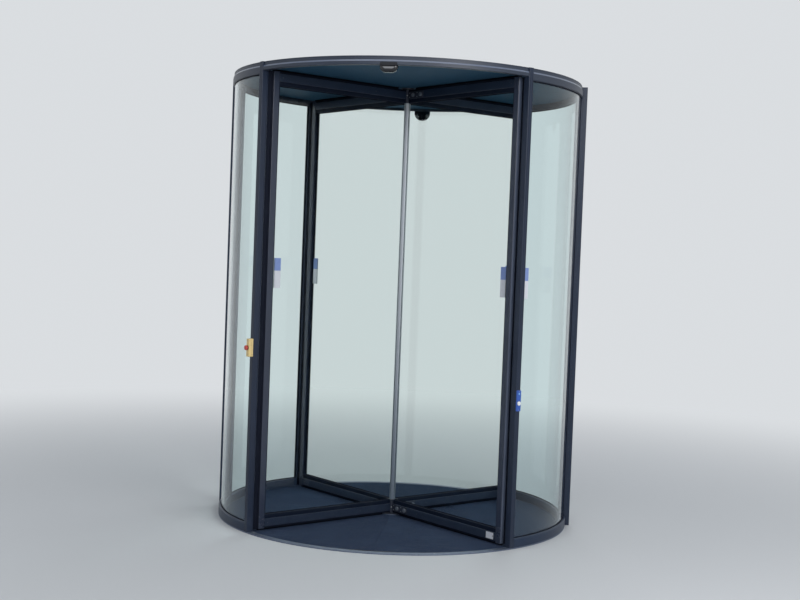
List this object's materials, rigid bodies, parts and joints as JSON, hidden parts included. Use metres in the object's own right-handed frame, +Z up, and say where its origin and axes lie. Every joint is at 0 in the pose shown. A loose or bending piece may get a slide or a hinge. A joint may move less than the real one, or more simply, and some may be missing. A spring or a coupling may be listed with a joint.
{
  "type": "revolving door",
  "caption": "Four-wing revolving door: a rotor of framed glass wings in a round glass drum with a thin canopy and an entrance mat.",
  "frame": {"origin": "on the turning axis at floor level", "axes": "+Z up along the turning axis, -Y to the street side, +X to the right seen from the street"},
  "size_m": [2.14, 2.092, 2.61],
  "materials": {
    "frame_paint": "satin anthracite powder coat",
    "glass": "clear laminated, faint green-grey",
    "mat": "ribbed entrance mat",
    "floor_metal": "brushed",
    "soffit": "glossy dark panel",
    "roof": "satin",
    "sensor": "gloss",
    "stop_housing": "matt",
    "access_blue": "satin",
    "centre_silver": "satin anodised",
    "seal": "matt",
    "hub_metal": "satin"
  },
  "bodies": {
    "drum": {"floor_mat": "mat", "floor_ring": "floor_metal", "floor_bearing": "floor_metal", "front_right_post": "frame_paint", "front_right_bottom_rail": "frame_paint", "front_right_wall_glass": "glass", "back_right_post": "frame_paint", "back_right_bottom_rail": "frame_paint", "back_right_wall_glass": "glass", "back_left_post": "frame_paint", "back_left_bottom_rail": "frame_paint", "back_left_wall_glass": "glass", "front_left_post": "frame_paint", "front_left_bottom_rail": "frame_paint", "front_left_wall_glass": "glass", "right_facade_post": "frame_paint", "left_facade_post": "frame_paint", "canopy_rim": "frame_paint", "canopy_soffit": "soffit", "canopy_roof": "roof", "top_bearing": "hub_metal", "front_sensor": "sensor", "back_sensor": "sensor", "emergency_stop": "stop_housing", "access_plate": "access_blue"},
    "rotor": {"hub_bottom": "hub_metal", "hub_top": "hub_metal", "centre_profile": "centre_silver", "front_right_wing_stile": "frame_paint", "front_right_wing_bottom_rail": "frame_paint", "front_right_wing_top_rail": "frame_paint", "front_right_wing_glass": "glass", "back_right_wing_stile": "frame_paint", "back_right_wing_bottom_rail": "frame_paint", "back_right_wing_top_rail": "frame_paint", "back_right_wing_glass": "glass", "back_left_wing_stile": "frame_paint", "back_left_wing_bottom_rail": "frame_paint", "back_left_wing_top_rail": "frame_paint", "back_left_wing_glass": "glass", "front_left_wing_stile": "frame_paint", "front_left_wing_bottom_rail": "frame_paint", "front_left_wing_top_rail": "frame_paint", "front_left_wing_glass": "glass", "wing_seals": "seal"}
  },
  "joints": [
    {"name": "rotor_spin", "type": "hinge", "parent": "drum", "child": "rotor", "pos_m": [0, 0, 0], "axis": [0, 0, 1], "continuous": true}
  ]
}
